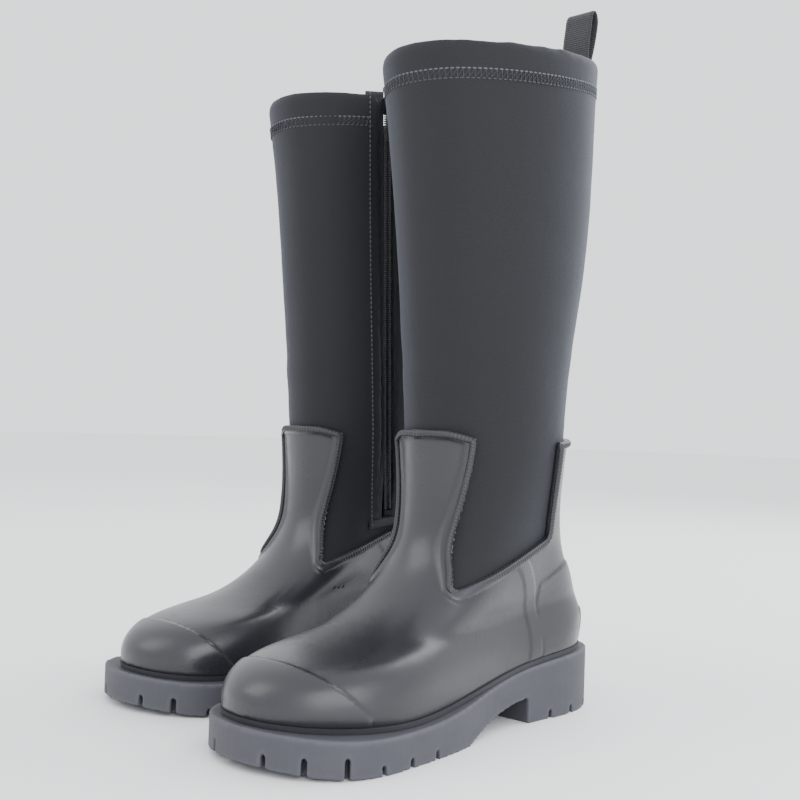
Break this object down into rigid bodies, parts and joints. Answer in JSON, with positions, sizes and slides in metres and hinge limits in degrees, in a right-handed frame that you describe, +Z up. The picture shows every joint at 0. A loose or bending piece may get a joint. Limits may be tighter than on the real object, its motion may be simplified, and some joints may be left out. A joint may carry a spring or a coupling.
{
  "type": "pair of tall boots",
  "caption": "Pair of knee-high neoprene boots with moulded rubber galoshes, lug soles, an inner-side zip and a webbing pull loop at the back.",
  "frame": {"origin": "middle of the ground that the pair covers, on the ground", "axes": "+Z up the shafts, -Y towards the toes, +X towards the left boot"},
  "size_m": [0.2598, 0.3086, 0.4625],
  "materials": {
    "sole_rubber": "matte moulded rubber",
    "welt_rubber": "matte moulded rubber",
    "shank_steel": "plain",
    "filler_foam": "foam",
    "board_fibre": "pressed fibre",
    "footbed_fabric": "knit over foam",
    "shaft_neoprene": "knit-faced neoprene",
    "lining_knit": "jersey",
    "stiffener": "plain",
    "galosh_rubber": "satin moulded rubber",
    "loop_webbing": "woven tape",
    "facing_tape": "bonded tape",
    "zip_tape": "woven tape",
    "zip_coil": "nylon",
    "zip_metal": "dark enamel",
    "zip_pull_rubber": "moulded"
  },
  "bodies": {
    "left_boot": {"left_collar_hem": "shaft_neoprene", "left_counter_straps": "galosh_rubber", "left_footbed": "footbed_fabric", "left_galosh": "galosh_rubber", "left_galosh_rim": "galosh_rubber", "left_heel_counter": "galosh_rubber", "left_heel_patch": "galosh_rubber", "left_heel_stiffener": "stiffener", "left_insole_board": "board_fibre", "left_lining": "lining_knit", "left_loop_anchor": "loop_webbing", "left_neoprene_shaft": "shaft_neoprene", "left_outsole": "sole_rubber", "left_shank": "shank_steel", "left_sole_filler": "filler_foam", "left_toe_cap": "galosh_rubber", "left_toe_puff": "stiffener", "left_welt": "welt_rubber", "left_zip_bottom_stop": "zip_metal", "left_zip_coil_front": "zip_coil", "left_zip_coil_rear": "zip_coil", "left_zip_facing": "facing_tape", "left_zip_gusset": "lining_knit", "left_zip_tape_front": "zip_tape", "left_zip_tape_rear": "zip_tape", "left_zip_top_stops": "zip_metal"},
    "left_zip_slider": {"left_zip_slider": "zip_metal"},
    "left_zip_pull": {"left_zip_pull": "zip_pull_rubber"},
    "left_pull_loop": {"left_pull_loop": "loop_webbing"},
    "right_boot": {"right_collar_hem": "shaft_neoprene", "right_counter_straps": "galosh_rubber", "right_footbed": "footbed_fabric", "right_galosh": "galosh_rubber", "right_galosh_rim": "galosh_rubber", "right_heel_counter": "galosh_rubber", "right_heel_patch": "galosh_rubber", "right_heel_stiffener": "stiffener", "right_insole_board": "board_fibre", "right_lining": "lining_knit", "right_loop_anchor": "loop_webbing", "right_neoprene_shaft": "shaft_neoprene", "right_outsole": "sole_rubber", "right_shank": "shank_steel", "right_sole_filler": "filler_foam", "right_toe_cap": "galosh_rubber", "right_toe_puff": "stiffener", "right_welt": "welt_rubber", "right_zip_bottom_stop": "zip_metal", "right_zip_coil_front": "zip_coil", "right_zip_coil_rear": "zip_coil", "right_zip_facing": "facing_tape", "right_zip_gusset": "lining_knit", "right_zip_tape_front": "zip_tape", "right_zip_tape_rear": "zip_tape", "right_zip_top_stops": "zip_metal"},
    "right_zip_slider": {"right_zip_slider": "zip_metal"},
    "right_zip_pull": {"right_zip_pull": "zip_pull_rubber"},
    "right_pull_loop": {"right_pull_loop": "loop_webbing"}
  },
  "joints": [
    {"name": "right_boot_apart", "type": "slide", "parent": "left_boot", "child": "right_boot", "axis": [-1, 0, 0], "range_m": [0, 0.15]},
    {"name": "left_zip_run", "type": "slide", "parent": "left_boot", "child": "left_zip_slider", "axis": [0.0573, 0.101, -0.9932], "range_m": [0, 0.2517]},
    {"name": "left_zip_pull_flip", "type": "hinge", "parent": "left_zip_slider", "child": "left_zip_pull", "pos_m": [0.01282, 0.00234, 0.39494], "axis": [-0.1992, 0.976, 0.0877], "range_deg": [0, 55]},
    {"name": "left_pull_loop_fold", "type": "hinge", "parent": "left_boot", "child": "left_pull_loop", "pos_m": [0.07888, 0.11311, 0.4256], "axis": [1, 0, 0], "range_deg": [-35, 35], "stiffness_Nm_per_rad": 0.01},
    {"name": "right_zip_run", "type": "slide", "parent": "right_boot", "child": "right_zip_slider", "axis": [-0.0534, 0.1031, -0.9932], "range_m": [0, 0.2517]},
    {"name": "right_zip_pull_flip", "type": "hinge", "parent": "right_zip_slider", "child": "right_zip_pull", "pos_m": [-0.00959, 0.0257, 0.39494], "axis": [-0.2365, -0.9677, -0.0877], "range_deg": [0, 55]},
    {"name": "right_pull_loop_fold", "type": "hinge", "parent": "right_boot", "child": "right_pull_loop", "pos_m": [-0.07134, 0.13892, 0.4256], "axis": [0.9993, -0.0384, 0], "range_deg": [-35, 35], "stiffness_Nm_per_rad": 0.01}
  ]
}
